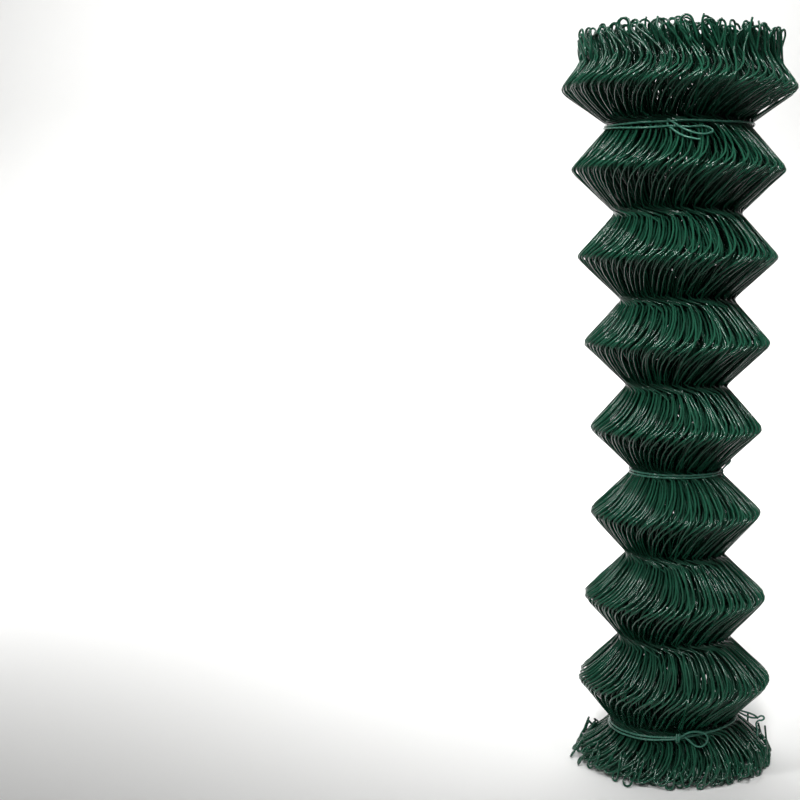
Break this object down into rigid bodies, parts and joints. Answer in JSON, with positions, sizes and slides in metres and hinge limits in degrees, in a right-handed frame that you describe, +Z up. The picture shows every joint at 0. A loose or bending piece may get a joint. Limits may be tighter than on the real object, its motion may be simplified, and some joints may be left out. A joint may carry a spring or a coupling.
{
  "type": "roll of wire fencing",
  "caption": "Compact standing roll of green plastic-coated chain-link fencing, pleated into bulges and waists, drawn in by tie wires and open through its middle.",
  "frame": {"origin": "on the floor at the middle of the roll's foot, on the roll's axis", "axes": "+Z up along the roll's axis, -Y to the front, where the knots of the top and bottom ties are, +X to the right"},
  "size_m": [0.2549, 0.255, 0.8],
  "materials": {
    "coated_wire": "dark green plastic coating on steel wire, half gloss, lightly scuffed and dusty at the bends",
    "tie_wire": "thin green plastic-coated tie wire, glossier and a little paler than the mesh"
  },
  "bodies": {
    "root": {"fence_roll": "coated_wire", "tie_top": "tie_wire", "tie_middle": "tie_wire", "tie_bottom": "tie_wire"}
  },
  "joints": []
}
